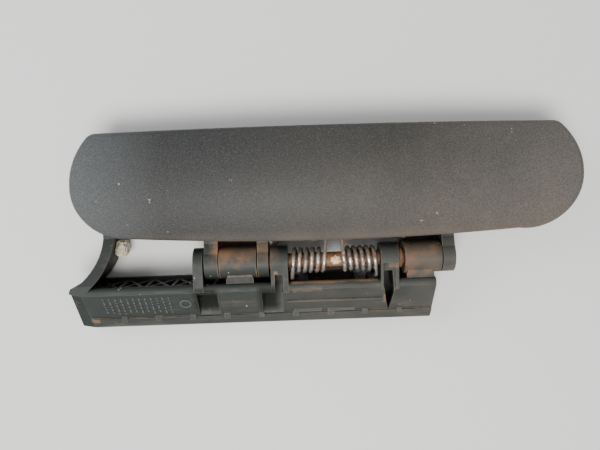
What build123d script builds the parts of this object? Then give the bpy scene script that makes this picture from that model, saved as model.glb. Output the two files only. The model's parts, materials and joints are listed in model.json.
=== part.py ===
"""Exterior car door handle of the flap type, made as separate pieces.

Every piece is drawn about the hinge axis: X runs along the hinge, +Y goes from the hinge to
the flap's pull edge and +Z points out of the door. The pieces are then written in the part's
own frame, whose origin lies on the back plane, midway between the two fixing inserts.
"""

import os
from math import asin, atan, cos, degrees, radians, sin, sqrt

from build123d import *

# ---------------------------------------------------------------- driving sizes, millimetres
# Hinge pin and knuckles
pin_d = 6.0
knuckle_d = 13.0
post_r = 6.4
running_gap = 0.05
seat_gap = 0.02

# Widths along the hinge, from the left ear to the right collar
ear_x = -43.2
ear_w = 3.9
ear_gap = 0.6
collar_1_w = 5.5
knuckle_gap = 0.4
barrel_1_w = 14.9
collar_2_w = 4.4
post_gap = 0.8
post_1_w = 6.9
spring_bay_w = 37.0
post_2_w = 7.1
clip_bay_w = 2.6
barrel_2_w = 14.7
collar_3_w = 5.0

# Flap cover
flap_x = (-88.1, 109.7)
flap_y = (9.3, 53.6)
flap_edge_z = 10.826
flap_crown_r = 50.0
flap_edge_r = 2.5
flap_bow_r = 900.0
flap_skin = 2.6
flap_rim = 2.4
rim_low_z = 6.2
rim_pull_z = 1.5
skin_rib_h = 2.6
skin_rib_w = 1.2

# Frame bar
bar_x = (-93.0, 53.6)
bar_wall = 2.0
lip_y = -7.75
lip_z = 6.0
lip_band = 3.0
lip_round = 2.0
facet_w = 5.0
facet_d = 2.0
end_lean = 1.5
sill_y = -22.3
sill_step = 0.4
toe_chamfer = 0.7
toe_y = -27.1
toe_z = -6.0
back_z = -16.0
rib_w = 1.2
rib_drop = 1.2
brace_bay = 10.9
brace_bays = 4
support_w = 11.0
support_y = -4.3
support_z = (-4.0, -2.4)
pocket_w = 8.4

# Frame ring behind the flap
arm_x = -80.2
arm_bend_r = 22.7
arm_bend_y = 12.0
arm_wall = (0.6, 3.2)
arm_band = 4.2
arm_band_t = 2.5
arm_front_z = -1.0
rail_y = (36.0, 46.0)
strap_t = 2.5
strap_x = (44.0, 53.0)
web_w = 16.0
web_low_y = 8.5

# Fixings
fixing_x = (-60.0, 46.0)
fixing_y = 41.0
pad_at = (6.0, -10.6)
pad_d = 7.8
boss_d = 13.0
boss_h = 10.0
insert_d = 7.0
insert_bore_d = 4.2
insert_l = 8.0

# Return spring
wire_d = 1.6
coil_d = 9.1
coil_turns = 5
coil_pitch = 2.48
leg_angle = 25.0
leg_l = 10.0
leg_inset = (2.0, 1.9)
bridge_y = 14.3
bridge_r = 1.8

# Flap carrier
beam_x = (-52.0, 78.0)
beam_y = (13.4, 21.4)
beam_z = (-0.5, 3.2)
back_wall_t = 1.2
back_wall_gap = 0.5
back_wall_y = (2.5, 14.0)
screw_x = (-47.0, -5.0, 38.0, 72.0)
screw_d = 2.9
screw_head_d = 5.6
screw_boss_d = 6.4
tail_y = (-3.4, -0.6)
tail_z = -13.4
cap_wall = 0.9
cap_z = (-14.2, -9.6)
buffer_x = (-68.0, 92.0)
buffer_y = 45.0
buffer_d = 6.4
buffer_h = 2.8
bush_d = 8.0

# Release lever
lever_z = -12.5
lever_t = 2.0
lever_w = 6.0
lever_nose_r = 3.0
lever_nose_gap = 0.25
pivot_x = 12.0
pivot_y = 14.0
pivot_d = 5.0
pivot_bush_d = 7.0
rod_x = 34.0
rod_y = 16.0
rod_bore_d = 4.2
clip_barrel_d = 5.9
lever_wire_d = 0.9
lever_coil_d = 8.2
lever_pitch = 1.05

# ---------------------------------------------------------------- places that follow


def after(span, gap, width):
    """The span of that width that starts one gap after another span."""
    return (span[1] + gap, span[1] + gap + width)


ear = (ear_x, ear_x + ear_w)
collar_1 = after(ear, ear_gap, collar_1_w)
barrel_1 = after(collar_1, knuckle_gap, barrel_1_w)
collar_2 = after(barrel_1, knuckle_gap, collar_2_w)
post_1 = after(collar_2, post_gap, post_1_w)
spring_bay = after(post_1, 0, spring_bay_w)
post_2 = after(spring_bay, 0, post_2_w)
clip_bay = after(post_2, 0, clip_bay_w)
barrel_2 = after(clip_bay, 0, barrel_2_w)
collar_3 = after(barrel_2, knuckle_gap, collar_3_w)
collars = (collar_1, collar_2, collar_3)

flap_mid_x = sum(flap_x) / 2
flap_mid_y = sum(flap_y) / 2
crown_rise = flap_crown_r - sqrt(flap_crown_r**2 - (flap_y[1] - flap_mid_y) ** 2)
flap_crest_z = flap_edge_z + crown_rise
flap_half = (flap_x[1] - flap_x[0]) / 2
tail_mid_x = sum(collar_2) / 2
nose_x = tail_mid_x + 0.6
cap_y = (tail_y[0] - cap_wall, tail_y[1] + cap_wall)
nose_y = cap_y[1] + lever_nose_gap + lever_nose_r
fixing_mid_x = sum(fixing_x) / 2
knuckle_r = knuckle_d / 2
pin_r = pin_d / 2
back_wall_z = (-knuckle_r - back_wall_gap - back_wall_t, -knuckle_r - back_wall_gap)
up = (Align.CENTER, Align.CENTER, Align.MIN)
down = (Align.CENTER, Align.CENTER, Align.MAX)
row_frame = Location((-fixing_mid_x, -fixing_y, -back_z))


def mid(span):
    return (span[0] + span[1]) / 2


def width(span):
    return span[1] - span[0]


def block(x, y, z, mode=Mode.ADD):
    """A box between two X, two Y and two Z values, in the part that is being built."""
    with Locations((mid(x), mid(y), mid(z))):
        Box(width(x), width(y), width(z), mode=mode)


def plate(profile, span, mode=Mode.ADD):
    """A profile drawn in Y and Z, made solid between two X values in the part being built."""
    extrude(Plane.YZ.offset(span[0]) * profile, amount=width(span), mode=mode)


def prism(outline, span, mode=Mode.ADD):
    """An outline drawn in X and Y, made solid between two Z values in the part being built."""
    extrude(Plane.XY.offset(span[0]) * outline, amount=width(span), mode=mode)


def disc(radius):
    """A round profile about the hinge axis, in Y and Z."""
    with BuildSketch() as profile:
        Circle(radius)
    return profile.sketch


def bow_drop(x):
    """How far the flap's lengthwise bow falls at x from its middle."""
    return flap_bow_r - flap_bow_r * cos(asin((x - flap_mid_x) / flap_bow_r))


def screw_reach(x):
    """How deep a carrier screw goes into the cover's boss at x."""
    return 6.4 - bow_drop(x)


def buffer_seat_z(x):
    """The height of a buffer's seat under the flap at x."""
    return rim_pull_z + 1.5 - bow_drop(x)


def write(piece, name):
    """Labels a finished piece and writes it in the part's own frame."""
    placed = piece.moved(row_frame)
    placed.label = name
    export_step(placed, f"parts/{name}.step")


os.makedirs("parts", exist_ok=True)


# ---------------------------------------------------------------- frame
face_slope = (lip_z - toe_z) / (lip_y - lip_band - toe_y)
face_normal = (sin(atan(face_slope)), cos(atan(face_slope)))


def face_z(y):
    """The height of the bar's sloping face at y."""
    return lip_z - face_slope * (lip_y - lip_band - y)


def bar_outline(inset=0.0):
    """The bar's section in the YZ plane: a lip, a face that slopes back, a sill and a flat back."""
    sill_z = face_z(sill_y)
    toe_top_y = toe_y + toe_chamfer
    with BuildSketch() as outline:
        with BuildLine():
            Polyline(
                (lip_y, back_z),
                (lip_y, lip_z),
                (lip_y - lip_band, lip_z),
                (sill_y, sill_z),
                (sill_y - 0.4, sill_z + sill_step),
                (toe_top_y, face_z(toe_top_y) + sill_step),
                (toe_y, toe_z),
                (toe_y, back_z),
                close=True,
            )
        make_face()
        if inset:
            offset(amount=-inset, kind=Kind.INTERSECTION, mode=Mode.REPLACE)
    return outline.sketch


with BuildPart() as bar:
    plate(bar_outline(), (bar_x[0] - end_lean, bar_x[1]))
    lip_edges = bar.edges().filter_by(Axis.X).filter_by_position(Axis.Z, lip_z - 0.1, lip_z + 0.1)
    fillet(lip_edges.sort_by(Axis.Y)[-1], radius=lip_round)
    hollow_x = (bar_x[0] + bar_wall, bar_x[1] - bar_wall)
    plate(bar_outline(bar_wall), hollow_x, mode=Mode.SUBTRACT)
    mouth_z = (back_z + bar_wall, lip_z - bar_wall)
    block(hollow_x, (lip_y - bar_wall - 0.5, lip_y + 1), mouth_z, mode=Mode.SUBTRACT)
    # the left end leans outwards, and the sloping face ends there in a facet
    with BuildSketch(Plane(origin=(bar_x[0], lip_y, 0), z_dir=(toe_y - lip_y, end_lean, 0))):
        Rectangle(90, 90)
    extrude(amount=20, mode=Mode.SUBTRACT)
    facet_at = (bar_x[0] + facet_w, lip_y - lip_band, lip_z)
    facet_out = (-facet_d, -face_normal[0] * facet_w, face_normal[1] * facet_w)
    with BuildSketch(Plane(origin=facet_at, z_dir=facet_out)):
        Rectangle(90, 90)
    extrude(amount=20, mode=Mode.SUBTRACT)

with BuildPart() as lattice:
    # straight ribs with a crossed pair of braces in each bay at the left end
    brace_z = (back_z + bar_wall / 2, lip_z - bar_wall - 2.4)
    first_x = -86.0
    top = Plane.XZ.offset(-(lip_y - rib_drop))
    with BuildSketch(top):
        for bay in range(brace_bays + 1):
            x = first_x + bay * brace_bay
            with BuildLine():
                Line((x, brace_z[0]), (x, brace_z[1]))
            trace(line_width=rib_w)
        for bay in range(brace_bays):
            x = first_x + bay * brace_bay
            for ends in (((x, brace_z[0]), (x + brace_bay, brace_z[1])),
                         ((x, brace_z[1]), (x + brace_bay, brace_z[0]))):
                with BuildLine():
                    Line(*ends)
                trace(line_width=rib_w)
        with BuildLine():
            Line((first_x - 6, brace_z[1]), (ear[0], brace_z[1]))
        trace(line_width=rib_w)
        # plain ribs under the hinge
        for x in (-36.0, -24.5, -16.0, 2.0, 22.8, 44.0):
            with BuildLine():
                Line((x, brace_z[0]), (x, lip_z - bar_wall / 2))
            trace(line_width=rib_w)
    extrude(amount=lip_y - rib_drop - toe_y - bar_wall / 2)
    plate(bar_outline(bar_wall / 2), bar_x, mode=Mode.INTERSECT)


def arm_strip(near, far):
    """The left arm's plan between two distances in from its outer edge: straight, then an arc."""
    middle = (near + far) / 2
    bend = degrees(asin((arm_bend_y - lip_y + 1) / arm_bend_r))
    with BuildSketch() as strip:
        with BuildLine():
            Line((arm_x + middle, rail_y[1]), (arm_x + middle, arm_bend_y))
            JernArc((arm_x + middle, arm_bend_y), (0, -1), arm_bend_r + middle, -bend)
        trace(line_width=far - near)
    return strip.sketch


def arm_side(depth=None):
    """The arm's side view in Y and Z: its front slopes back from the lip to behind the flap."""
    slope_y = flap_y[0] + 2.0
    front = [(lip_y - 2, lip_z), (lip_y + 1, lip_z), (slope_y, arm_front_z), (rail_y[1], arm_front_z)]
    with BuildSketch() as side:
        with BuildLine():
            if depth is None:
                Polyline(*front, (rail_y[1], back_z), (lip_y - 2, back_z), close=True)
            else:
                Polyline(*front, *[(y, z - depth) for y, z in reversed(front)], close=True)
        make_face()
    return side.sketch


with BuildPart() as arm:
    prism(arm_strip(*arm_wall), (back_z, lip_z))
    plate(arm_side(), (bar_x[0], arm_x + arm_band + 1), mode=Mode.INTERSECT)

with BuildPart() as arm_flange:
    prism(arm_strip(0, arm_band), (back_z, lip_z))
    plate(arm_side(arm_band_t), (bar_x[0], arm_x + arm_band + 1), mode=Mode.INTERSECT)


def post_side(radius, low_y, front):
    """A knuckle's side view in Y and Z: round over the pin, straight down to the bar."""
    with BuildSketch() as side:
        Circle(radius)
        with Locations((low_y / 2, (front - radius) / 2)):
            Rectangle(-low_y, front + radius)
    return side.sketch


left_x = spring_bay[0] + leg_inset[0]
right_x = spring_bay[1] - leg_inset[1]
leg_end_z = coil_d / 2 * cos(radians(leg_angle)) - leg_l * sin(radians(leg_angle))
leg_seat_z = leg_end_z - wire_d / 2 / cos(radians(leg_angle)) - 0.05
pocket_xs = (ear[0] + 0.6, collar_2[0] + 1.1)
pocket_z = -2.6
with BuildPart() as pocket_backs:
    # the face made thicker behind the pockets, so their floors are closed
    for x in pocket_xs:
        plate(bar_outline(0.3), (x - 1.5, x + pocket_w + 1.5))
        past = (x - 2, x + pocket_w + 2)
        block(past, (-30, 0), (back_z, pocket_z - 2.0), mode=Mode.SUBTRACT)
        block(past, (lip_y - lip_band, 0), (back_z, lip_z), mode=Mode.SUBTRACT)

with BuildPart() as mounting_frame:
    add(bar.part)
    add(lattice.part)
    add(arm.part)
    add(arm_flange.part)
    add(pocket_backs.part)
    for x in (left_x, right_x):
        block((x - 1.8, x + 1.8), (-12.8, -9.0), (back_z + 1, leg_seat_z))
    # ear and posts, with the slots between the posts' legs
    plate(post_side(post_r, lip_y - 2.6, lip_z + 0.4), ear)
    for post in (post_1, post_2):
        plate(post_side(post_r, lip_y - 4, lip_z + 0.2), post)
    # barrels on their supports
    for barrel in (barrel_1, barrel_2):
        plate(disc(knuckle_r), barrel)
    support_low_y = lip_y - lip_band - (lip_z - support_z[1]) / face_slope + bar_wall
    for x in (barrel_1[0] + 2.5, barrel_2[0] + 0.9):
        with BuildSketch(Plane.XY.offset(support_z[0])):
            with Locations((x + support_w / 2, support_y)):
                RectangleRounded(support_w, support_y - lip_y + 2, 2.4, align=(Align.CENTER, Align.MAX))
        extrude(amount=lip_z - bar_wall + 0.4 - support_z[0])
        block((x, x + support_w), (support_low_y, lip_y - 1.5), support_z)
    # rail and straps behind the flap
    back = (back_z, back_z + strap_t)
    block((arm_x, strap_x[1]), rail_y, back)
    block(strap_x, (lip_y - 4, rail_y[1]), back)
    block((pivot_x - web_w / 2, pivot_x + web_w / 2), (web_low_y, rail_y[0] + 1), back)
    for y in (rail_y[0] + rib_w / 2, rail_y[1] - rib_w / 2):
        block((arm_x, strap_x[1]), (y - rib_w / 2, y + rib_w / 2), (back_z, back_z + 6.5))
    for x in (strap_x[0] + rib_w / 2, strap_x[1] - rib_w / 2):
        block((x - rib_w / 2, x + rib_w / 2), (lip_y - 4, rail_y[1]), (back_z, back_z + 5.5))
    with Locations(*[(x, fixing_y, back_z) for x in fixing_x]):
        Cylinder(boss_d / 2, boss_h, align=up)
    # pivot boss, spring post and the shelf for the stop pad
    with Locations((pivot_x, pivot_y, back_z)):
        Cylinder(pivot_bush_d / 2 + 1, lever_z - 0.4 - back_z, align=up)
    with Locations((pivot_x + lever_coil_d / 2 + lever_wire_d / 2 + 1.5, pivot_y + 12, back_z)):
        Cylinder(1.5, 10.6, align=up)
    block((tail_mid_x - 4, tail_mid_x + 4), (lip_y - 5, lip_y), (back_z, back_z + 6))
    # step line and two low plates on the face
    block((post_1[1] - 1.0, post_2[0] + 1.0), (-16.8, -16.2), (face_z(-16.5) - 1.0, face_z(-16.2) + 0.35))
    for x in (-3.4, 10.4):
        block((x, x + 11.2), (-22.1, -20.7), (face_z(-22) - 0.6, face_z(-21) + 0.15))
    # crush ribs on the sill
    for step in range(9):
        x = bar_x[0] + 17.5 + step * 14.3
        block((x, x + 2.4), (sill_y - 1.6, sill_y + 0.6), (toe_z + 1, face_z(sill_y) + 0.5))

    # pockets in the face, with floors square to the pull of the mould
    for x in pocket_xs:
        block((x, x + pocket_w), (sill_y, lip_y - lip_band - 0.9), (pocket_z, lip_z + 1), mode=Mode.SUBTRACT)
    # slots through the posts' lower legs
    slot_1 = (mid(post_1) - 1.9, mid(post_1) + 1.3)
    block(slot_1, (lip_y - lip_band - 1, -4.3), (pocket_z, lip_z + 1), mode=Mode.SUBTRACT)
    slot_2 = (post_2[0] + 1.2, post_2[0] + 4.7)
    with BuildSketch(Plane.XY.offset(-post_r - 1)):
        with BuildLine():
            Polyline(
                (slot_2[0], -4.4), (slot_2[1], -4.4), (slot_2[1] + 0.6, -14.5),
                (slot_2[0] + 2.7, sill_y - 0.4), (slot_2[0] + 1.1, -16.5), (slot_2[0] - 0.1, -10.0),
                close=True,
            )
        make_face()
    extrude(amount=post_r + lip_z + 2, mode=Mode.SUBTRACT)
    block((slot_2[0] - 0.3, slot_2[1] + 1.0), (-14.0, -1.2), (4.9, lip_z + 2), mode=Mode.SUBTRACT)
    # notches in the back wall behind the spring legs
    for x in ((spring_bay[0] + 0.8, spring_bay[0] + 6.8), (spring_bay[1] - 9.4, spring_bay[1] - 1.6)):
        block(x, (-14.5, lip_y + 1), (back_z - 1, back_z + bar_wall + 0.2), mode=Mode.SUBTRACT)
    # hinge bore, insert holes and pivot hole
    with Locations(Plane.YZ.offset(ear[0] - 1)):
        Cylinder(pin_r + seat_gap, 130, align=up, mode=Mode.SUBTRACT)
    with Locations(*[(x, fixing_y, back_z) for x in fixing_x]):
        Cylinder(insert_d / 2 + seat_gap, insert_l, align=up,
                 mode=Mode.SUBTRACT)
    with Locations((pivot_x, pivot_y, back_z - 1)):
        Cylinder(pivot_d / 2 + seat_gap, 8, align=up, mode=Mode.SUBTRACT)
write(mounting_frame.part, "mounting_frame")

with BuildPart() as fixing_inserts:
    with Locations(*[(x, fixing_y, back_z) for x in fixing_x]):
        Cylinder(insert_d / 2, insert_l - 0.3, align=up)
        Cylinder(insert_bore_d / 2, insert_l, align=up, mode=Mode.SUBTRACT)
    with Locations(*[(x, fixing_y, back_z + insert_l / 2 - 0.2) for x in fixing_x]):
        Torus(insert_d / 2 + 0.35, 0.75, mode=Mode.SUBTRACT)
write(fixing_inserts.part, "fixing_inserts")

with BuildPart() as foam_pad:
    with Locations(Plane.YZ.offset(arm_x + 1.0)):
        with Locations((pad_at[0], pad_at[1])):
            Cylinder(pad_d / 2, 7.0, align=up)
    prism(arm_strip(-9, arm_wall[1] + seat_gap), (back_z, lip_z), mode=Mode.SUBTRACT)
    fillet(foam_pad.faces().sort_by(Axis.X)[-1].edges(), radius=1.6)
write(foam_pad.part, "foam_pad")

with BuildPart() as stop_pad:
    block((tail_mid_x - 3.2, tail_mid_x + 3.2), (lip_y, cap_y[0] - 0.2), (back_z + 0.8, back_z + 5.8))
    fillet(stop_pad.edges().filter_by(Axis.X).group_by(Axis.Y)[-1], radius=0.8)
write(stop_pad.part, "stop_pad")

# ---------------------------------------------------------------- hinge pin and its clip
pin_x = (ear[0] + 0.4, collar_3[1] - 0.4)
groove_x = (clip_bay[0] + 0.75, clip_bay[0] + 1.85)
groove_r = pin_r - 0.5
with BuildPart() as hinge_pin:
    with Locations(Plane.YZ.offset(pin_x[0])):
        Cylinder(pin_r, width(pin_x), align=up)
    chamfer(hinge_pin.edges().filter_by(GeomType.CIRCLE), length=0.4)
    with BuildSketch(Plane.YZ.offset(groove_x[0])):
        Circle(pin_r + 1)
        Circle(groove_r, mode=Mode.SUBTRACT)
    extrude(amount=width(groove_x), mode=Mode.SUBTRACT)
write(hinge_pin.part, "hinge_pin")

with BuildPart() as pin_circlip:
    with BuildSketch(Plane.YZ.offset(groove_x[0] + 0.05)):
        Circle(4.3)
        Circle(groove_r + seat_gap, mode=Mode.SUBTRACT)
        with Locations((0, -3.4)):
            Rectangle(4.0, 5.0, mode=Mode.SUBTRACT)
    extrude(amount=width(groove_x) - 0.1)
write(pin_circlip.part, "pin_circlip")

with BuildPart() as thrust_washer:
    with BuildSketch(Plane.YZ.offset(clip_bay[0] + 0.05)):
        Circle(4.6)
        Circle(pin_r + running_gap, mode=Mode.SUBTRACT)
    extrude(amount=0.6)
write(thrust_washer.part, "thrust_washer")


# ---------------------------------------------------------------- return spring
def at_coil(x, angle):
    """The point on the coil's centre line at that X and turn, counted from the front upwards."""
    return Vector(x, coil_d / 2 * sin(radians(angle)), coil_d / 2 * cos(radians(angle)))


def coil_half(start_x, hand):
    """One coil from its frame leg to where its strand leaves for the bridge, turn by turn."""
    lean = coil_pitch / (radians(360) * coil_d / 2)
    start, first = at_coil(start_x, -leg_angle), radians(-leg_angle)
    turn = (coil_turns + leg_angle / 360) / coil_turns
    coils = []
    for n in range(coil_turns):
        angle = first + radians(360) * turn * n
        seat = Plane(origin=(start_x + hand * coil_pitch * turn * n, 0, 0),
                     x_dir=(0, sin(angle), cos(angle)), z_dir=(hand, 0, 0))
        coil = Edge.make_helix(coil_pitch, coil_pitch * turn, coil_d / 2, lefthand=hand > 0)
        coils.append(coil.moved(seat.location))
    leg_end = start - Vector(hand * lean, cos(first), -sin(first)).normalized() * leg_l
    end = coils[-1] @ 1
    up = Vector(hand * lean, 1, 0).normalized()
    corner = end + up * (bridge_y - end.Y) / up.Y
    return leg_end, start, coils, end, corner


left = coil_half(left_x, 1)
right = coil_half(right_x, -1)
with BuildPart() as return_spring:
    with BuildLine() as wire:
        Line(left[0], left[1])
        for coil in left[2] + right[2]:
            add(coil)
        FilletPolyline(left[3], left[4], right[4], right[3], radius=bridge_r)
        Line(right[1], right[0])
    with BuildSketch(Plane(origin=left[0], z_dir=left[1] - left[0])):
        Circle(wire_d / 2)
    sweep(path=wire.wire())
write(return_spring.part, "return_spring")


# ---------------------------------------------------------------- flap cover
def crowned(drop, low_z, pull_z):
    """The crowned and bowed body under the flap's skin, lowered by drop, down to a sloping floor."""
    with BuildSketch(Plane.YZ.offset(flap_mid_x)) as section:
        with BuildLine():
            Polyline((flap_y[0] - 5, low_z), (flap_y[1] + 5, pull_z), (flap_y[1] + 5, 40),
                     (flap_y[0] - 5, 40), close=True)
        make_face()
        with Locations((flap_mid_y, flap_crest_z - flap_crown_r)):
            Circle(flap_crown_r - drop, mode=Mode.INTERSECT)
    with BuildPart() as body:
        half_turn = degrees(asin((flap_half + 8) / flap_bow_r))
        bow_axis = Axis((flap_mid_x, 0, flap_crest_z - flap_bow_r), (0, 1, 0))
        revolve(section.sketch, axis=bow_axis, revolution_arc=half_turn)
        revolve(section.sketch, axis=bow_axis.reverse(), revolution_arc=half_turn)
    return body.part


def flap_outline(inset=0.0):
    """The flap's front view: a straight pull edge, a shallow bowed hinge edge and two round ends."""
    left_x, right_x = flap_x[0] + inset, flap_x[1] - inset
    low, high = flap_y[0] + inset, flap_y[1] - inset
    with BuildSketch() as outline:
        with BuildLine():
            ThreePointArc((left_x + 8, high - 0.3), (flap_mid_x, high), (right_x - 9, high - 1.2))
            ThreePointArc((right_x - 9, high - 1.2), (right_x - 2.6, high - 10), (right_x, high - 21))
            ThreePointArc((right_x, high - 21), (right_x - 6.8, low + 6.8), (right_x - 24, low + 1.9))
            ThreePointArc((right_x - 24, low + 1.9), (flap_mid_x + 6, low), (left_x + 20, low + 2.8))
            ThreePointArc((left_x + 20, low + 2.8), (left_x + 5.2, low + 9.2), (left_x, high - 20.6))
            ThreePointArc((left_x, high - 20.6), (left_x + 2.0, high - 10), (left_x + 8, high - 0.3))
        make_face()
        corners = outline.vertices().group_by(Axis.Y)[-2:]
        fillet([v for group in corners for v in group], radius=5.0 - inset)
    return outline.sketch


rib_xs = [flap_mid_x + 22 * n for n in (-4, -3, -2, -1, 0, 1, 2, 3, 4)]
through = (-40, 40)
with BuildPart() as cavity:
    add(crowned(flap_skin, -30, -30))
    prism(flap_outline(flap_rim), through, mode=Mode.INTERSECT)

with BuildPart() as skin_ribs:
    # ribs standing on the underside of the skin
    for x in rib_xs:
        block((x - skin_rib_w / 2, x + skin_rib_w / 2), flap_y, through)
    block(flap_x, (flap_mid_y - skin_rib_w / 2, flap_mid_y + skin_rib_w / 2), through)
    add(crowned(flap_skin / 2, -30, -30), mode=Mode.INTERSECT)
    prism(flap_outline(flap_rim / 2), through, mode=Mode.INTERSECT)
    add(crowned(flap_skin + skin_rib_h, -31, -31), mode=Mode.SUBTRACT)

with BuildPart() as cover_bosses:
    for x in screw_x:
        with Locations((x, mid(beam_y), beam_z[1] + 0.05)):
            Cylinder(screw_boss_d / 2, 30, align=up)
    for x in buffer_x:
        with Locations((x, buffer_y, buffer_seat_z(x))):
            Cylinder(buffer_d / 2 + 1.2, 30, align=up)
    add(crowned(flap_skin / 2, -30, -30), mode=Mode.INTERSECT)

with BuildPart() as flap_cover:
    add(crowned(0, rim_low_z, rim_pull_z))
    prism(flap_outline(), through, mode=Mode.INTERSECT)
    skin = flap_cover.faces().sort_by(Axis.Z)[-1]
    fillet(skin.edges(), radius=flap_edge_r)
    add(cavity.part, mode=Mode.SUBTRACT)
    add(skin_ribs.part)
    add(cover_bosses.part)
    for x in screw_x:
        with Locations((x, mid(beam_y), beam_z[1])):
            Cylinder(screw_d / 2 + seat_gap, screw_reach(x) + 0.5, align=up, mode=Mode.SUBTRACT)
    for x in buffer_x:
        with Locations((x, buffer_y, buffer_seat_z(x))):
            Cylinder(buffer_d / 4 + seat_gap, 4.2, align=up, mode=Mode.SUBTRACT)
write(flap_cover.part, "flap_cover")

with BuildPart() as flap_buffers:
    for x in buffer_x:
        with Locations((x, buffer_y, buffer_seat_z(x))):
            Cylinder(buffer_d / 2, buffer_h, align=down)
            Cylinder(buffer_d / 4, 3.8, align=up)
    ends = flap_buffers.faces().filter_by(Axis.Z).sort_by(Axis.Z)[:2]
    fillet([edge for face in ends for edge in face.edges()], radius=1.0)
write(flap_buffers.part, "flap_buffers")

# ---------------------------------------------------------------- flap carrier
with BuildSketch() as arm_profile:
    Circle(knuckle_r - 0.05)
    with BuildLine():
        Polyline(
            (0, -knuckle_r + 0.1), (back_wall_y[0], back_wall_z[0]), (back_wall_y[1], back_wall_z[0]),
            (beam_y[1], beam_z[0]), (beam_y[1], beam_z[1]), (beam_y[0] - 5, beam_z[1]), (3.6, 4.9),
            close=True,
        )
    make_face()

with BuildPart() as flap_carrier:
    for collar in collars:
        plate(arm_profile.sketch, collar)
    block(beam_x, beam_y, beam_z)
    for y in (beam_y[0] + rib_w / 2, beam_y[1] - rib_w / 2):
        block(beam_x, (y - rib_w / 2, y + rib_w / 2), (beam_z[0] - 3.2, beam_z[1]))
    rest_x = ((left_x + right_x) / 2 - 5.0, (left_x + right_x) / 2 + 5.0)
    block(rest_x, (beam_y[0], beam_y[0] + 2.4), (beam_z[0], coil_d / 2 - wire_d / 2 - 0.05))
    block((collar_1[0], collar_2[1]), back_wall_y, back_wall_z)
    block((barrel_2[0], collar_3[1]), back_wall_y, back_wall_z)
    for x in (collar_1[0], barrel_2[0]):
        block((x, x + rib_w), (knuckle_r + 1.2, back_wall_y[1]), (back_wall_z[0], beam_z[0]))
        block((x, x + rib_w), (back_wall_y[1] - 2, beam_y[1]), (beam_z[0] - 3.2, beam_z[1]))
    block(collar_2, tail_y, (tail_z, 0))
    with Locations(*[(x, mid(beam_y), beam_z[0] - 1) for x in screw_x]):
        Cylinder(screw_d / 2 + 0.2, 10, align=up, mode=Mode.SUBTRACT)
    with Locations(Plane.YZ.offset(collar_1[0] - 1)):
        Cylinder(bush_d / 2 + seat_gap, 130, align=up, mode=Mode.SUBTRACT)
write(flap_carrier.part, "flap_carrier")

with BuildPart() as collar_bushes:
    for collar in collars:
        with BuildSketch(Plane.YZ.offset(collar[0])):
            Circle(bush_d / 2)
            Circle(pin_r + running_gap, mode=Mode.SUBTRACT)
        extrude(amount=width(collar))
write(collar_bushes.part, "collar_bushes")

with BuildPart() as tail_cap:
    cap_x = (collar_2[0] - 0.35, collar_2[1] + 0.6)
    block(cap_x, cap_y, cap_z)
    fillet(tail_cap.edges().filter_by(Axis.X).group_by(Axis.Z)[0], radius=1.0)
    pocket_x = (collar_2[0] - seat_gap, collar_2[1] + seat_gap)
    pocket_y = (tail_y[0] - seat_gap, tail_y[1] + seat_gap)
    block(pocket_x, pocket_y, (tail_z - seat_gap, 0), mode=Mode.SUBTRACT)
write(tail_cap.part, "tail_cap")

with BuildPart() as carrier_screws:
    for x in screw_x:
        with Locations((x, mid(beam_y), beam_z[0])):
            Cylinder(screw_head_d / 2, 1.8, align=down)
            Cylinder(screw_d / 2, width(beam_z) + screw_reach(x), align=up)
    heads = carrier_screws.faces().filter_by(Axis.Z).group_by(Axis.Z)[0]
    fillet([e for face in heads for e in face.edges()], radius=0.6)
    for x in screw_x:
        with Locations((x, mid(beam_y), beam_z[0] - 1.8)):
            for turn in (0, 90):
                Box(2.8, 0.6, 1.6, rotation=(0, 0, turn), mode=Mode.SUBTRACT)
write(carrier_screws.part, "carrier_screws")

# ---------------------------------------------------------------- release lever
with BuildPart() as release_lever:
    with BuildSketch(Plane.XY.offset(lever_z)):
        with BuildLine():
            Polyline((nose_x, nose_y), (nose_x + 5, pivot_y - 3.4), (pivot_x, pivot_y), (rod_x, rod_y))
        trace(line_width=lever_w)
        with Locations((nose_x, nose_y)):
            Circle(lever_nose_r)
        with Locations((pivot_x, pivot_y)):
            Circle(pivot_bush_d / 2 + 3)
        with Locations((rod_x, rod_y)):
            Circle(clip_barrel_d / 2 + 2.4)
        with Locations((pivot_x, pivot_y)):
            Circle(pivot_bush_d / 2 + seat_gap, mode=Mode.SUBTRACT)
        with Locations((rod_x, rod_y)):
            Circle(clip_barrel_d / 2 + running_gap, mode=Mode.SUBTRACT)
    extrude(amount=lever_t)
    # upstand that the lever's spring pushes on
    tab_x = (pivot_x - 12.5, pivot_x - 10.2)
    tab_y = pivot_y - lever_coil_d / 2 - lever_wire_d / 2
    block(tab_x, (tab_y - 1.4, pivot_y - 2), (lever_z, lever_z + lever_t))
    block(tab_x, (tab_y - 1.4, tab_y), (lever_z, lever_z + 4.4))
write(release_lever.part, "release_lever")

lever_top = lever_z + lever_t
with BuildPart() as lever_bush:
    with Locations((pivot_x, pivot_y, lever_z - 0.1)):
        Cylinder(pivot_bush_d / 2, lever_t + 0.5, align=up)
        Cylinder(pivot_d / 2 + running_gap, 8, align=up, mode=Mode.SUBTRACT)
write(lever_bush.part, "lever_bush")

with BuildPart() as lever_pivot:
    with Locations((pivot_x, pivot_y, back_z)):
        Cylinder(pivot_d / 2, 10.7, align=up)
    chamfer(lever_pivot.edges().filter_by(GeomType.CIRCLE).sort_by(Axis.Z)[-1], length=0.4)
write(lever_pivot.part, "lever_pivot")

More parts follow.
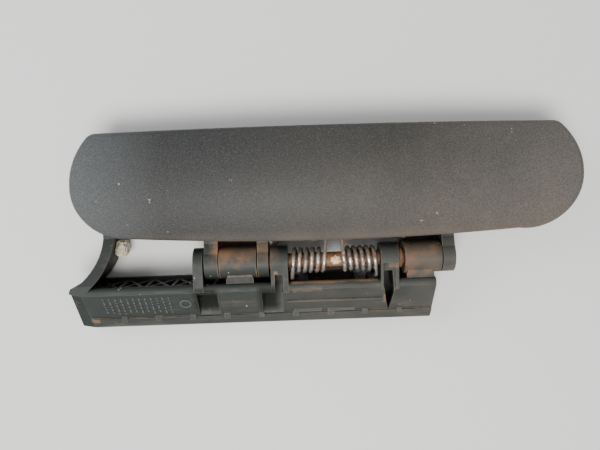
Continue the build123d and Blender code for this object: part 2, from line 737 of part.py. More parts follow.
with BuildPart() as pivot_retainer:
    with BuildSketch(Plane.XY.offset(back_z + 9.5)):
        with Locations((pivot_x, pivot_y)):
            Circle(5.4)
            Circle(pivot_d / 2 + seat_gap, mode=Mode.SUBTRACT)
            with PolarLocations(pivot_d / 2 + 0.8, 6):
                Rectangle(1.8, 0.6, mode=Mode.SUBTRACT)
    extrude(amount=0.6)
write(pivot_retainer.part, "pivot_retainer")

with BuildPart() as lever_spring:
    lever_coil_r = lever_coil_d / 2
    coil_z = lever_top + 0.5 + lever_wire_d / 2
    helix = Edge.make_helix(lever_pitch, lever_pitch * 2.25, lever_coil_r)
    # the coil starts below the pivot, where its strand comes in along the lever
    helix = helix.moved(Plane(origin=(pivot_x, pivot_y, coil_z), x_dir=(0, -1, 0), z_dir=(0, 0, 1)).location)
    near = helix @ 0
    far = helix @ 1
    with BuildLine() as wire:
        Line(near - (helix % 0) * 11.6, near)
        add(helix)
        Line(far, far + (helix % 1) * 13.0)
    with BuildSketch(Plane(origin=wire.wire() @ 0, z_dir=wire.wire() % 0)):
        Circle(lever_wire_d / 2)
    sweep(path=wire.wire())
write(lever_spring.part, "lever_spring")

with BuildPart() as rod_clip:
    here = (rod_x, rod_y)
    disc_low = lever_z - 1.6
    with Locations((*here, disc_low)):
        Cylinder(clip_barrel_d / 2 + 1.3, 1.3, align=up)
        Cylinder(clip_barrel_d / 2, lever_t + 3.2, align=up)
    with Locations((*here, lever_top + 0.3)):
        Cylinder(clip_barrel_d / 2 + 0.9, 1.3, align=up)
    # latch arm with the saddle that the rod's shank snaps into
    block((rod_x - 2.6, rod_x + 2.6), (rod_y + 2.5, rod_y + 14), (disc_low, disc_low + 1.3))
    for side in (-1, 1):
        x = sorted((rod_x + side * 2.1, rod_x + side * 3.4))
        block(x, (rod_y + 8, rod_y + 13.5), (back_z + 0.15, disc_low + 1.3))
    with Locations((*here, disc_low - 1)):
        Cylinder(rod_bore_d / 2, 12, align=up, mode=Mode.SUBTRACT)
write(rod_clip.part, "rod_clip")
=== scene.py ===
"""Visual model of the car door flap handle: finishes, wire springs, foam pad, relief, light, camera."""

import json
import math
import random

import bmesh
import bpy
from mathutils import Matrix, Vector, noise


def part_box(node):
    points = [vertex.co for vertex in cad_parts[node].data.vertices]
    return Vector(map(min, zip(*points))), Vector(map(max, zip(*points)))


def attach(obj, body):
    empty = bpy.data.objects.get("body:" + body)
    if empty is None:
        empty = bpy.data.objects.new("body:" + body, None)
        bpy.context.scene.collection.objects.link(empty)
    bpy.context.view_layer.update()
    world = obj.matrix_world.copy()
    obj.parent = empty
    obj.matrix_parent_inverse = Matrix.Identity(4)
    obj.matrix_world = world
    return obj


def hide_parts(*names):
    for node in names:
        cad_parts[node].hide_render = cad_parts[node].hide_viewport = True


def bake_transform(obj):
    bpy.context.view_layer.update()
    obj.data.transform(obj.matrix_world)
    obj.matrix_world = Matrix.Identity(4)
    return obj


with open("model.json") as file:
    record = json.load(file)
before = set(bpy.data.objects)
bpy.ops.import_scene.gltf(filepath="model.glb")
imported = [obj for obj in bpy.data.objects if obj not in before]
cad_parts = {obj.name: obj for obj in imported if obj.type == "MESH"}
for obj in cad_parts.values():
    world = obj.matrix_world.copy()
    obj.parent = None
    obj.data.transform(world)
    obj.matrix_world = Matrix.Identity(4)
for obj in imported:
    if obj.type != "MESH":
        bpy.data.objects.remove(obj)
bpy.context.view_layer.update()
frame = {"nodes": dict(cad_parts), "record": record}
nodes = frame["nodes"]
MM = 0.001
HINGE = Vector((0.007, -0.041, 0.016))


def hinge_place(x, y, z):
    """A place given about the hinge axis in millimetres, in the row frame."""
    return HINGE + Vector((x, y, z)) * MM


# ------------------------------------------------------------------ node trees
# Sockets of a Mix node that mixes colours
MIX_FACTOR, MIX_A, MIX_B, MIX_RESULT = 0, 6, 7, 2
EDGE_SAMPLES, SOFTENING_SAMPLES, CORNER_SAMPLES = 6, 4, 6


class Shader:
    """A material's node tree, with short calls for the nodes that it needs."""

    def __init__(self, name):
        self.material = bpy.data.materials.new(name)
        self.material.use_nodes = True
        self.tree = self.material.node_tree
        self.surface = self.tree.nodes["Principled BSDF"]
        self.place = self.tree.nodes.new("ShaderNodeTexCoord").outputs["Object"]

    def put(self, socket, value):
        """Sets a socket to a value, or links an output to it."""
        if isinstance(value, bpy.types.NodeSocket):
            self.tree.links.new(value, socket)
        else:
            socket.default_value = value

    def add(self, kind, inputs):
        """A new node of that kind, with the given inputs set or linked."""
        node = self.tree.nodes.new("ShaderNode" + kind)
        for key, value in inputs.items():
            self.put(node.inputs[key], value)
        return node

    def stretch(self, scale):
        """The object's coordinates, scaled by three factors."""
        return self.add("Mapping", {"Vector": self.place, "Scale": scale}).outputs["Vector"]

    def noise(self, scale, detail=3.0, rough=0.55, vector=None, distortion=0.0):
        look = {"Scale": scale, "Detail": detail, "Roughness": rough, "Distortion": distortion}
        return self.add("TexNoise", {"Vector": vector or self.place, **look}).outputs["Fac"]

    def cells(self, scale):
        return self.add("TexVoronoi", {"Vector": self.place, "Scale": scale}).outputs["Distance"]

    def span(self, value, low, high, to_low=0.0, to_high=1.0):
        """Maps a value from one range to another, held at its ends."""
        ends = {"From Min": low, "From Max": high, "To Min": to_low, "To Max": to_high}
        return self.add("MapRange", {"Value": value, **ends}).outputs["Result"]

    def math(self, how, *values, clamp=True):
        node = self.add("Math", dict(enumerate(values)))
        node.operation = how
        node.use_clamp = clamp
        return node.outputs[0]

    def plus(self, a, b):
        return self.math("ADD", a, b)

    def both(self, a, b):
        """One mask inside another, or a mask scaled by a share."""
        return self.math("MULTIPLY", a, b)

    def between(self, how, a, b):
        """One number from two vectors: their dot product or their distance."""
        node = self.add("VectorMath", {0: a, 1: b})
        node.operation = how
        return node.outputs["Value"]

    def blend(self, factor, a, b):
        """Colour a where the factor is 0 and colour b where it is 1."""
        node = self.tree.nodes.new("ShaderNodeMix")
        node.data_type = "RGBA"
        self.put(node.inputs[MIX_FACTOR], factor)
        self.put(node.inputs[MIX_A], (*a, 1) if isinstance(a, tuple) else a)
        self.put(node.inputs[MIX_B], (*b, 1) if isinstance(b, tuple) else b)
        return node.outputs[MIX_RESULT]

    def axis(self, name):
        return self.add("SeparateXYZ", {0: self.place}).outputs[name]

    def within(self, name, low, high, edge, shift):
        """1 between two places along an axis, fading to 0 over an edge on both sides."""
        along = self.math("ADD", self.axis(name), shift, clamp=False)
        return self.both(self.span(along, low - edge, low), self.span(along, high + edge, high))

    def worn_and_lit_edges(self, radius):
        """1 on sharp edges, where the rounded normal leaves the true one, and 0 on flats."""
        bevel = self.add("Bevel", {"Radius": radius})
        bevel.samples = EDGE_SAMPLES
        flat = self.tree.nodes.new("ShaderNodeNewGeometry").outputs["Normal"]
        return self.span(self.between("DOT_PRODUCT", bevel.outputs["Normal"], flat), 0.995, 0.88)

    def corners(self, reach):
        """1 deep in corners and 0 in the open."""
        node = self.add("AmbientOcclusion", {"Distance": reach})
        node.samples = CORNER_SAMPLES
        return self.math("SUBTRACT", 1.0, node.outputs["AO"])

    def soft_edges(self, radius):
        node = self.add("Bevel", {"Radius": radius})
        node.samples = SOFTENING_SAMPLES
        return node.outputs["Normal"]

    def bump(self, height, strength, distance, under=None):
        """The surface's normal with a fine relief, over another normal if one is given."""
        inputs = {"Height": height, "Strength": strength, "Distance": distance}
        if under is not None:
            inputs["Normal"] = under
        return self.add("Bump", inputs).outputs["Normal"]

    def finish(self, color, rough, metal=0.0, normal=None, specular=0.5):
        self.put(self.surface.inputs["Base Color"], color)
        self.put(self.surface.inputs["Roughness"], rough)
        self.put(self.surface.inputs["Metallic"], metal)
        self.put(self.surface.inputs["Specular IOR Level"], specular)
        if normal is not None:
            self.put(self.surface.inputs["Normal"], normal)
        return self.material


# ------------------------------------------------------------------ flap
FLAP_GREY = (0.029, 0.031, 0.031)
FLAP_LEFT_SHEEN = (0.100, 0.110, 0.117)
FLAP_RIGHT_GREY = (0.062, 0.066, 0.070)
FLAP_DUST = (0.165, 0.134, 0.104)
FLAP_RUB_AND_HIGHLIGHT = (0.125, 0.100, 0.078)
FLAP_SPECK = (0.20, 0.195, 0.185)
FLAP_PIT = (0.026, 0.026, 0.026)
FLAP_SCRATCH = (0.46, 0.44, 0.40)
FLAP_CHIP = (0.5, 0.46, 0.39)


def grained_plastic():
    """The flap: dark grey, finely grained, cool where clean and warm with dust where hands go."""
    s = Shader("flap_plastic")
    grain = s.cells(1700.0)
    speck = s.noise(2300.0, 2.0)
    patch = s.noise(30.0, 5.0, 0.6)
    low_half = s.span(s.axis("Y"), 0.006, -0.034)
    right_half = s.span(s.axis("X"), -0.03, 0.12)
    # The left end is lighter: a painted sheen
    left_end_sheen = s.span(s.axis("X"), -0.045, -0.085)
    right_end = s.span(s.axis("X"), 0.055, 0.11)
    base = s.blend(left_end_sheen, FLAP_GREY, FLAP_LEFT_SHEEN)
    base = s.blend(right_end, base, FLAP_RIGHT_GREY)

    # Dust lies in soft patches, most of it low on the right half
    dusty = s.both(low_half, s.span(right_half, 0.0, 1.0, 0.10, 0.42))
    dusty = s.plus(dusty, s.both(right_half, 0.40))
    dusty = s.both(dusty, s.span(patch, 0.3, 0.7, 0.45, 1.15))
    base = s.blend(dusty, base, FLAP_DUST)

    # The grain's bright specks and dark pits, and the hinge edge, lighter from rubbing and a painted edge
    # highlight
    base = s.blend(s.span(speck, 0.42, 0.74, 0.0, 0.26), base, FLAP_SPECK)
    base = s.blend(s.span(grain, 0.15, 0.6, 0.5, 0.0), base, FLAP_PIT)
    hinge_edge_rub_and_highlight = s.span(s.axis("Y"), -0.0265, -0.0305)
    base = s.blend(s.both(hinge_edge_rub_and_highlight, s.span(patch, 0.35, 0.6, 0.2, 0.6)), base, FLAP_RUB_AND_HIGHLIGHT)

    # Fine scratches along the flap, and chips, both in some places only
    lines = s.noise(13.0, 6.0, 0.75, s.stretch((3.0, 60.0, 60.0)), 1.4)
    scratch = s.both(s.span(lines, 0.685, 0.70), s.span(s.noise(22.0, 2.0), 0.52, 0.6))
    base = s.blend(s.both(scratch, 0.55), base, FLAP_SCRATCH)
    chip = s.both(s.span(s.noise(330.0, 2.0), 0.735, 0.75), s.span(s.noise(36.0, 3.0), 0.5, 0.56))
    base = s.blend(s.both(chip, 0.7), base, FLAP_CHIP)

    rough = s.span(patch, 0.2, 0.8, 0.46, 0.6)
    height = s.plus(s.both(grain, 0.8), s.both(speck, 0.35))
    normal = s.bump(height, 0.45, 0.00014, s.soft_edges(0.0004))
    return s.finish(base, rough, normal=normal, specular=0.22)


# ------------------------------------------------------------------ frame and carrier
FRAME_BLACK = (0.024, 0.029, 0.027)
RIB_GREY = (0.075, 0.080, 0.074)
DUST = (0.30, 0.215, 0.14)
TAN = (0.215, 0.112, 0.058)
DUSTY_BROWN = (0.135, 0.098, 0.070)
WARM_FILM = (0.15, 0.125, 0.10)
EDGE_TAN_AND_HIGHLIGHT = (0.36, 0.27, 0.19)
PALE_SPECK = (0.44, 0.37, 0.29)
SHADE = (0.009, 0.012, 0.010)
PAINTED_SHADE = (0.010, 0.013, 0.011)

# Each place: its X and Y spans about the hinge in mm, how softly and how raggedly it ends, and its share
DUST_PLACES = (
    ((-33.0, -13.0), (3.0, 8.0), 4.5, 8.0, 0.85),
    ((42.0, 53.0), (-5.0, 8.0), 3.0, 8.0, 0.5),
    ((-4.0, 30.0), (-8.1, -7.5), 0.4, 1.6, 0.9),
    ((-3.0, 7.0), (-11.4, -10.8), 1.2, 4.0, 0.45),
    ((33.2, 34.6), (-18.3, -15.0), 0.7, 1.6, 1.0),
    ((-10.8, -9.7), (-6.6, -3.2), 0.5, 1.4, 0.9),
    ((35.0, 38.8), (-3.0, -1.5), 0.5, 1.6, 0.6),
    ((39.8, 40.3), (-20.6, -19.9), 0.35, 0.8, 0.9),
    ((-88.0, -85.0), (-23.6, -22.6), 0.9, 3.0, 0.9),
    ((-33.2, -32.8), (-5.6, 5.4), 0.35, 0.9, 1.0),
    ((-17.9, -17.5), (-5.6, 5.4), 0.35, 0.9, 0.9),
    ((-29.5, -20.0), (-4.9, -4.5), 0.3, 1.0, 1.0),
)
# Painted shade: the bar's two pockets and its left end's facet
PAINTED_SHADE_PLACES = (
    ((-42.4, -35.6), (-18.5, -11.0), 2.5, 1.0, 0.9),
    ((-16.2, -11.5), (-19.0, -11.0), 3.0, 1.0, 0.85),
    ((-96.0, -88.6), (-30.0, -11.0), 0.6, 0.2, 0.5),
)


def lying(s, places):
    """A mask over the frame for the given places, with ragged ends."""
    rags = s.noise(190.0, 5.0, 0.65)
    total = 0.0
    for x_span, y_span, edge, rag, share in places:
        shift = s.math("MULTIPLY_ADD", rags, rag * MM, -0.5 * rag * MM, clamp=False)
        low, high = hinge_place(x_span[0], y_span[0], 0), hinge_place(x_span[1], y_span[1], 0)
        along = s.within("X", low.x, high.x, edge * MM, shift)
        across = s.within("Y", low.y, high.y, edge * MM, shift)
        total = s.plus(total, s.both(s.both(along, across), share))
    return total


def moulded_plastic(name, base_color, hinge=False):
    """Black plastic with streaks of dust, dark hollows and pale edges from wear and a painted highlight,
    and dust and painted shade by the hinge.
    """
    s = Shader(name)
    fine = s.noise(1100.0, 3.0)
    patch = s.noise(95.0, 6.0, 0.68)
    cloud = s.noise(42.0, 4.0, 0.6)
    streak = s.noise(120.0, 5.0, 0.65, s.stretch((0.2, 1.0, 1.0)))
    rough = s.span(patch, 0.3, 0.7, 0.42, 0.68)

    # Clouds, streaks along the bar, and a warm film over the right half
    paler = tuple(c * 1.55 for c in base_color)
    base = s.blend(s.span(cloud, 0.35, 0.7, 0.0, 0.5), base_color, paler)
    base = s.blend(s.span(streak, 0.54, 0.78, 0.0, 0.32), base, DUST)
    right_half = s.span(s.axis("X"), -0.04, 0.05)
    base = s.blend(s.both(right_half, s.span(cloud, 0.35, 0.65, 0.05, 0.3)), base, WARM_FILM)

    # Tan dust in tight corners, and shade in deep hollows
    corner = s.both(s.span(s.corners(0.0022), 0.42, 0.9), s.span(patch, 0.46, 0.66))
    base = s.blend(s.both(corner, 0.3), base, TAN)
    base = s.blend(s.span(s.corners(0.012), 0.27, 0.62, 0.0, 0.88), base, SHADE)

    if hinge:
        # Painted shade in the bar's two pockets and on its left end's facet; dust in the other places
        shade_and_grime = lying(s, PAINTED_SHADE_PLACES)
        film = lying(s, DUST_PLACES)
        base = s.blend(shade_and_grime, base, PAINTED_SHADE)
        base = s.blend(s.both(film, s.span(cloud, 0.3, 0.6, 0.5, 0.95)), base, DUSTY_BROWN)
        base = s.blend(s.both(film, s.span(patch, 0.47, 0.6, 0.0, 0.95)), base, TAN)
        rough = s.plus(rough, s.both(shade_and_grime, 0.5))

    # Pale edges, part wear and part painted edge highlight, and specks
    edge = s.both(s.worn_and_lit_edges(0.00035), s.span(patch, 0.40, 0.62, 0.12, 0.9))
    base = s.blend(s.both(edge, 0.75), base, EDGE_TAN_AND_HIGHLIGHT)
    specks = s.both(s.span(s.noise(520.0, 2.0), 0.70, 0.73), s.span(s.noise(110.0, 2.0), 0.5, 0.6))
    base = s.blend(s.both(specks, 0.8), base, PALE_SPECK)

    height = s.plus(s.both(fine, 0.6), s.both(patch, 0.5))
    normal = s.bump(height, 0.4, 0.00016, s.soft_edges(0.0003))
    return s.finish(base, rough, normal=normal, specular=0.26)


# ------------------------------------------------------------------ steel, rubber, nylon and foam
RUST = (0.15, 0.052, 0.018)
WORN_RUST = (0.31, 0.155, 0.075)
BRIGHT_RUST = (0.40, 0.185, 0.075)
RUST_IN_SHADE = (0.040, 0.020, 0.011)
PAINT = (0.80, 0.70, 0.57)
PAINT_STAIN = (0.55, 0.34, 0.18)
PAINT_AT = hinge_place(13.7, 0.3, 3.0)
PAINT_R = 0.0038
PAINT_RAGS = 0.0042
BRIGHT_WIRE = (0.74, 0.71, 0.66)
WIRE_GRIME_AND_SHADE = (0.115, 0.095, 0.075)
WIRE_RUST = (0.24, 0.105, 0.045)
WIRE_TARNISH = (0.30, 0.24, 0.18)
FOAM = (0.74, 0.71, 0.58)
FOAM_STAIN = (0.46, 0.37, 0.21)
FOAM_FOLD = (0.25, 0.16, 0.08)
FOAM_PORE = (0.34, 0.26, 0.14)


def rusty_steel():
    """The bare pin, its clip and washer: brown rust with paler worn places, painted shade in corners and
    one cream mark.
    """
    s = Shader("rusty_steel")
    patch = s.noise(300.0, 6.0, 0.7)
    pits = s.noise(1400.0, 4.0, 0.6)
    base = s.blend(s.span(patch, 0.36, 0.66), WORN_RUST, RUST)
    base = s.blend(s.span(pits, 0.52, 0.72, 0.0, 0.7), base, BRIGHT_RUST)
    # Painted shade: darker rust in corners, as on the pin between the coils
    base = s.blend(s.span(s.corners(0.003), 0.2, 0.6, 0.0, 0.75), base, RUST_IN_SHADE)
    ragged = s.both(s.noise(520.0, 5.0, 0.75), PAINT_RAGS)
    reach = s.plus(ragged, s.between("DISTANCE", s.place, PAINT_AT))
    paint = s.span(reach, PAINT_R + 0.0002, PAINT_R - 0.0002)
    base = s.blend(paint, base, s.blend(s.span(s.noise(900.0, 3.0), 0.42, 0.6), PAINT, PAINT_STAIN))
    metal = s.both(s.span(patch, 0.3, 0.5, 0.35, 0.0), s.span(paint, 0.0, 1.0, 1.0, 0.0))
    rough = s.span(patch, 0.3, 0.6, 0.42, 0.85)
    return s.finish(base, rough, metal, s.bump(pits, 0.5, 0.00012))


def spring_steel():
    """Drawn wire, bright where rubbed, with dirt in patches and painted shade on its upper side, and rust
    in places.
    """
    s = Shader("spring_steel")
    patch = s.noise(420.0, 6.0, 0.7)
    drawn = s.noise(1800.0, 3.0)
    # Painted shade: the upper side is darker, added to the dirt patches
    upper = s.span(s.axis("Y"), hinge_place(0, 0.5, 0).y, hinge_place(0, 5.0, 0).y, 0.0, 0.26)
    shade_and_grime = s.span(s.plus(patch, upper), 0.44, 0.62)
    rusty = s.span(s.noise(250.0, 5.0, 0.65), 0.52, 0.64)
    base = s.blend(shade_and_grime, BRIGHT_WIRE, WIRE_GRIME_AND_SHADE)
    base = s.blend(s.both(rusty, 0.8), base, WIRE_RUST)
    base = s.blend(s.span(drawn, 0.45, 0.8, 0.0, 0.45), base, WIRE_TARNISH)
    dull = s.math("MAXIMUM", shade_and_grime, rusty)
    metal = s.span(dull, 0.0, 1.0, 1.0, 0.25)
    rough = s.span(dull, 0.0, 1.0, 0.24, 0.7)
    return s.finish(base, rough, metal, s.bump(drawn, 0.35, 0.00006))


def plain_metal(name, color, rough_from):
    """Plated steel or brass: one colour with duller patches."""
    s = Shader(name)
    patch = s.noise(200.0, 5.0, 0.6)
    base = s.blend(s.span(patch, 0.45, 0.75, 0.0, 0.6), color, tuple(c * 0.55 for c in color))
    rough = s.span(patch, 0.3, 0.7, rough_from, rough_from + 0.25)
    return s.finish(base, rough, 1.0, s.soft_edges(0.0002))


def soft_plain(name, color, rough, scale, depth):
    """Rubber or nylon: one colour that varies a little, with a fine surface and dusty corners."""
    s = Shader(name)
    fine = s.noise(scale, 4.0, 0.6)
    patch = s.noise(scale / 6, 4.0)
    base = s.blend(s.span(patch, 0.3, 0.75), color, tuple(c * 0.7 for c in color))
    base = s.blend(s.span(s.corners(0.003), 0.3, 0.9, 0.0, 0.6), base, DUST)
    return s.finish(base, rough, normal=s.bump(fine, 0.5, depth, s.soft_edges(0.0002)))


def torn_foam():
    """The pad: cream foam with yellow stains, darker tan in its folds and open pores."""
    s = Shader("cream_foam")
    pores = s.cells(1500.0)
    patch = s.noise(330.0, 5.0, 0.65)
    base = s.blend(s.span(patch, 0.42, 0.64), FOAM, FOAM_STAIN)
    base = s.blend(s.span(s.corners(0.0016), 0.3, 0.8, 0.0, 0.8), base, FOAM_FOLD)
    base = s.blend(s.span(pores, 0.12, 0.4, 0.3, 0.0), base, FOAM_PORE)
    return s.finish(base, 0.9, normal=s.bump(pores, 0.6, 0.00018), specular=0.2)


FINISH = {
    "grained_plastic": grained_plastic(),
    "black_plastic": moulded_plastic("frame_plastic", FRAME_BLACK, hinge=True),
    "black_rubber": soft_plain("black_rubber", (0.02, 0.02, 0.02), 0.8, 1500.0, 0.00006),
    "cream_foam": torn_foam(),
    "rusty_steel": rusty_steel(),
    "spring_steel": spring_steel(),
    "zinc_steel": plain_metal("zinc_steel", (0.55, 0.54, 0.50), 0.35),
    "brass_insert": plain_metal("brass_insert", (0.62, 0.42, 0.17), 0.3),
    "nylon": soft_plain("nylon", (0.42, 0.40, 0.34), 0.5, 700.0, 0.00004),
}
RUBBED = moulded_plastic("rubbed_plastic", RIB_GREY)
for part in frame["record"]["subparts"]:
    for material_slot in nodes[part["node"]].material_slots:
        material_slot.material = FINISH[part["material_slot"]]


# ------------------------------------------------------------------ springs, as round wire
def new_piece(name, mesh, slot_name):
    """A mesh as a named piece with its slot's finish."""
    piece = bpy.data.objects.new(name, mesh)
    bpy.context.collection.objects.link(piece)
    mesh.materials.clear()
    mesh.materials.append(FINISH[slot_name])
    for face in mesh.polygons:
        face.use_smooth = True
    return piece


def rounded(points, radius, steps=5):
    """A chain of points with each corner replaced by a short arc of that radius."""
    path = [points[0]]
    for before, corner, after in zip(points, points[1:], points[2:]):
        into, out = (corner - before).normalized(), (after - corner).normalized()
        turn = into.angle(out)
        reach = radius * math.tan(turn / 2)
        start = corner - into * reach
        side = (out - into * into.dot(out)).normalized()
        for step in range(steps + 1):
            angle = turn * step / steps
            path.append(start + into * radius * math.sin(angle) + side * radius * (1 - math.cos(angle)))
    path.append(points[-1])
    return path


def wire(name, path, diameter, sides=14, closed=False):
    """A round wire along a path, capped at its ends or closed into a loop."""
    mesh = bpy.data.meshes.new(name)
    build = bmesh.new()
    across = (path[1] - path[0]).orthogonal().normalized()
    rings = []
    last = len(path) - 1
    for i, point in enumerate(path):
        after, before = ((i + 1) % len(path), i - 1) if closed else (min(i + 1, last), max(i - 1, 0))
        along = (path[after] - path[before]).normalized()
        across = (across - along * across.dot(along)).normalized()
        other = along.cross(across)
        ring = []
        for k in range(sides):
            angle = math.tau * k / sides
            out = across * math.cos(angle) + other * math.sin(angle)
            ring.append(build.verts.new(point + out * diameter / 2))
        rings.append(ring)
    for first, second in zip(rings, rings[1:] + (rings[:1] if closed else [])):
        for k in range(sides):
            build.faces.new((first[k], first[k - 1], second[k - 1], second[k]))
    if not closed:
        build.faces.new(rings[0])
        build.faces.new(reversed(rings[-1]))
    bmesh.ops.recalc_face_normals(build, faces=build.faces)
    build.to_mesh(mesh)
    build.free()
    return mesh


# The return spring, in millimetres about the hinge axis, as in the CAD
WIRE_D, COIL_D, COIL_TURNS, COIL_PITCH = 1.6, 9.1, 5, 2.48
LEG_ANGLE, LEG_L, LEG_X = math.radians(25), 10.0, (-3.4, 29.7)
BRIDGE_Y, BRIDGE_R = 14.3, 1.8
TURN_STEPS = 30


def coil_half(start_x, hand):
    """The path of one coil and the coil's two ends: a leg in the bar, the turns, half of the bridge."""
    radius = COIL_D / 2
    turns = COIL_TURNS + LEG_ANGLE / math.tau
    lean = COIL_PITCH / (math.tau * radius)
    count = round(turns * TURN_STEPS)
    coil = []
    for i in range(count + 1):
        turned = turns * i / count
        angle = math.tau * turned - LEG_ANGLE
        x = start_x + hand * COIL_PITCH * turned
        coil.append(Vector((x, radius * math.sin(angle), radius * math.cos(angle))))
    leg = Vector((hand * lean, math.cos(LEG_ANGLE), math.sin(LEG_ANGLE))).normalized() * LEG_L
    up = Vector((hand * lean, 1, 0)).normalized()
    corner = coil[-1] + up * (BRIDGE_Y - coil[-1].y) / up.y
    middle = Vector((sum(LEG_X) / 2, corner.y, corner.z))
    path = [coil[0] - leg, *coil[:-1], *rounded([coil[-1], corner, middle], BRIDGE_R)]
    return [hinge_place(*point) for point in path], (coil[0], coil[-1])


for side, start_x, hand in (("left", LEG_X[0], 1), ("right", LEG_X[1], -1)):
    path, (low, high) = coil_half(start_x, hand)
    name = "return_spring_" + side
    half = new_piece(name, wire(name, path, WIRE_D * MM), "spring_steel")
    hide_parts("return_spring")
    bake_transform(half)

# The release lever's spring, about its pivot
PIVOT, LEVER_COIL_Z, LEVER_COIL_D = (12.0, 14.0), -9.55, 8.2
LEVER_WIRE_D, LEVER_PITCH, LEVER_TURNS, LEVER_ARMS = 0.9, 1.05, 2.25, (11.6, 13.0)


def lever_spring_path():
    """In along the lever, round the pivot, and out to the frame's post."""
    radius = LEVER_COIL_D / 2
    count = round(LEVER_TURNS * TURN_STEPS)
    coil = []
    for i in range(count + 1):
        turned = LEVER_TURNS * i / count
        angle = math.tau * turned
        x, y = PIVOT[0] + radius * math.sin(angle), PIVOT[1] - radius * math.cos(angle)
        coil.append(Vector((x, y, LEVER_COIL_Z + LEVER_PITCH * turned)))
    first = coil[0] - Vector((LEVER_ARMS[0], 0, 0))
    last = coil[-1] + Vector((0, LEVER_ARMS[1], 0))
    return [hinge_place(*point) for point in (first, *coil, last)]


path = lever_spring_path()
lever_mesh = wire("lever_spring_wire", path, LEVER_WIRE_D * MM, sides=10)
lever_wire = new_piece("lever_spring_wire", lever_mesh, "spring_steel")
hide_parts("lever_spring")
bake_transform(lever_wire)

# ------------------------------------------------------------------ foam pad
PAD_TORN_OFF = 0.12
PAD_SQUARENESS = 0.72
LOBE_SCALE, LOBE_SHARE, LOBE_SEED = 1.7, 0.17, Vector((3.1, 0.4, 7.7))
RAG_SCALE, RAG_SHARE, RAG_MIDDLE, RAG_OCTAVES = 3.1, 0.14, 0.6, 3


def lumpy_pad():
    """A torn lump of foam that fills the pad's box, less its torn end, with lobes and a ragged surface."""
    low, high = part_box("foam_pad")
    low, high = Vector(low), Vector(high)
    high.x -= PAD_TORN_OFF * (high.x - low.x)
    middle, half_size = (low + high) / 2, (high - low) / 2
    mesh = bpy.data.meshes.new("foam_pad_lump")
    build = bmesh.new()
    bmesh.ops.create_icosphere(build, subdivisions=6, radius=1.0)
    for vertex in build.verts:
        way = vertex.co.normalized()
        squared = Vector([math.copysign(abs(c) ** PAD_SQUARENESS, c) for c in way])
        lobes = noise.noise(way * LOBE_SCALE + LOBE_SEED) * LOBE_SHARE
        rags = (noise.turbulence(way * RAG_SCALE, RAG_OCTAVES, False) - RAG_MIDDLE) * RAG_SHARE
        reach = 1.0 + lobes + rags
        place = middle + Vector([s * h for s, h in zip(squared * reach, half_size)])
        vertex.co = Vector([min(max(p, a), b) for p, a, b in zip(place, low, high)])
    build.to_mesh(mesh)
    build.free()
    return new_piece("foam_pad_lump", mesh, "cream_foam")


pad = lumpy_pad()
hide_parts("foam_pad")
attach(pad, "frame")

# ------------------------------------------------------------------ relief on the sloping face
FACE_TOP_Y, FACE_TOP_Z, FACE_SLOPE = -10.75, 6.0, 12.0 / 16.35
FACE_NORMAL = Vector((0, -FACE_SLOPE, 1)).normalized()
FACE_COSINE = 0.81

# The block of ribs, in millimetres: columns from the left, each filled from the top down
RIB_COLUMNS, RIB_FIRST_X, RIB_COLUMN_PITCH, RIB_SWAY = 12, -80.2, 2.4, 0.08
RIB_TOP_Y, RIB_LAST_START_Y, RIB_FLOOR_Y = -12.3, -19.6, -20.4
RIB_LENGTHS, RIB_GAP, RIB_W, RIB_H, RIB_SUNK = (0.7, 1.2, 1.9), 0.55, 0.8, 0.32, 0.15

RING_AT, RING_R, RING_WIRE_D, RING_STEPS = (-47.6, -15.9), 2.1, 0.7, 40


def on_face(x, y, out=0.0):
    """A place on the bar's sloping face, that far out of it."""
    face = Vector((x, y, FACE_TOP_Z - FACE_SLOPE * (FACE_TOP_Y - y)))
    return hinge_place(*(face + FACE_NORMAL * out))


def raised_bar(build, x, y_from, y_to):
    """A low rib with sloping sides, standing on the face and sunk a little into it."""
    rings = []
    for out, grow in ((-RIB_SUNK, 1.0), (RIB_H * 0.55, 0.86), (RIB_H, 0.45)):
        w, end = RIB_W / 2 * grow, (1 - grow) * RIB_W / 2
        corners = ((-w, y_from - end), (w, y_from - end), (w, y_to + end), (-w, y_to + end))
        rings.append([build.verts.new(on_face(x + dx, y, out)) for dx, y in corners])
    for low_ring, high_ring in zip(rings, rings[1:]):
        for k in range(4):
            build.faces.new((low_ring[k - 1], low_ring[k], high_ring[k], high_ring[k - 1]))
    build.faces.new(rings[-1])
    build.faces.new(reversed(rings[0]))


def rib_block():
    """Columns of short raised ribs, a plain moulded pattern."""
    mesh = bpy.data.meshes.new("face_ribs")
    build = bmesh.new()
    chance = random.Random(4)
    for column in range(RIB_COLUMNS):
        x = RIB_FIRST_X + column * RIB_COLUMN_PITCH
        y = RIB_TOP_Y
        while y > RIB_LAST_START_Y:
            length = chance.choice(RIB_LENGTHS)
            sway = chance.uniform(-RIB_SWAY, RIB_SWAY)
            raised_bar(build, x + sway, y, max(y - length, RIB_FLOOR_Y))
            y -= length + RIB_GAP
    bmesh.ops.recalc_face_normals(build, faces=build.faces)
    build.to_mesh(mesh)
    build.free()
    ribs = new_piece("face_ribs", mesh, "black_plastic")
    ribs.data.materials[0] = RUBBED
    return ribs


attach(rib_block(), "frame")

ring_path = []
for step in range(RING_STEPS):
    angle = math.tau * step / RING_STEPS
    dx, dy = RING_R * math.cos(angle), RING_R * FACE_COSINE * math.sin(angle)
    ring_path.append(on_face(RING_AT[0] + dx, RING_AT[1] + dy))
ring_mesh = wire("face_ring", ring_path, RING_WIRE_D * MM, sides=10, closed=True)
ring = new_piece("face_ring", ring_mesh, "black_plastic")
ring.data.materials[0] = RUBBED
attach(ring, "frame")

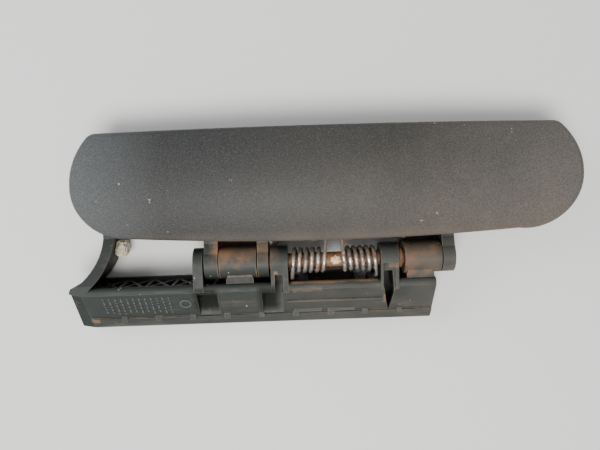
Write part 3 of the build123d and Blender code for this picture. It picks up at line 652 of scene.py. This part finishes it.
# ------------------------------------------------------------------ floor, light, camera
FLOOR_SIZE, WORLD_STRENGTH = 6, 0.45
LAMP_AIM = (0, -0.02, 0.02)
TILT, ROLL = math.radians(7), math.radians(2)
SENSOR_W, LENS, CLIP_START = 36, 32.4, 0.01
CAMERA_UP, CAMERA_BACK = 0.0143, 0.220

bpy.ops.mesh.primitive_plane_add(size=FLOOR_SIZE)
floor = bpy.context.object
floor.name = "floor"
paper = Shader("floor_paper")
tone = paper.blend(paper.noise(3.0), (0.80, 0.80, 0.79), (0.82, 0.82, 0.81))
floor.data.materials.append(paper.finish(tone, 0.9, specular=0.2))

world = bpy.data.worlds.new("studio")
world.use_nodes = True
world.node_tree.nodes["Background"].inputs["Color"].default_value = (1, 1, 1, 1)
world.node_tree.nodes["Background"].inputs["Strength"].default_value = WORLD_STRENGTH
bpy.context.scene.world = world


def lamp(name, place, size, watts, color):
    """A rectangular lamp aimed at the part's middle."""
    data = bpy.data.lights.new(name, "AREA")
    data.shape = "RECTANGLE"
    data.size, data.size_y = size
    data.energy = watts
    data.color = color
    lamp_object = bpy.data.objects.new(name, data)
    bpy.context.collection.objects.link(lamp_object)
    lamp_object.location = place
    way = Vector(LAMP_AIM) - Vector(place)
    lamp_object.rotation_euler = way.to_track_quat("-Z", "Y").to_euler()


lamp("key", (-0.10, -0.30, 0.85), (0.45, 0.35), 10.0, (1.0, 0.985, 0.965))
lamp("fill", (-0.65, 0.30, 0.60), (0.5, 0.5), 3.0, (0.95, 0.98, 1.0))

camera_data = bpy.data.cameras.new("camera")
camera_data.sensor_width = SENSOR_W
camera_data.lens = LENS
camera_data.clip_start = CLIP_START
camera = bpy.data.objects.new("camera", camera_data)
bpy.context.collection.objects.link(camera)
back = Vector((0, math.sin(TILT), math.cos(TILT)))
plain_up = Vector((0, math.cos(TILT), -math.sin(TILT)))
right = math.cos(ROLL) * Vector((1, 0, 0)) - math.sin(ROLL) * plain_up
up = math.sin(ROLL) * Vector((1, 0, 0)) + math.cos(ROLL) * plain_up
camera.matrix_world = Matrix((right, up, back)).transposed().to_4x4()
camera.location = HINGE + plain_up * CAMERA_UP + back * CAMERA_BACK
bpy.context.scene.camera = camera
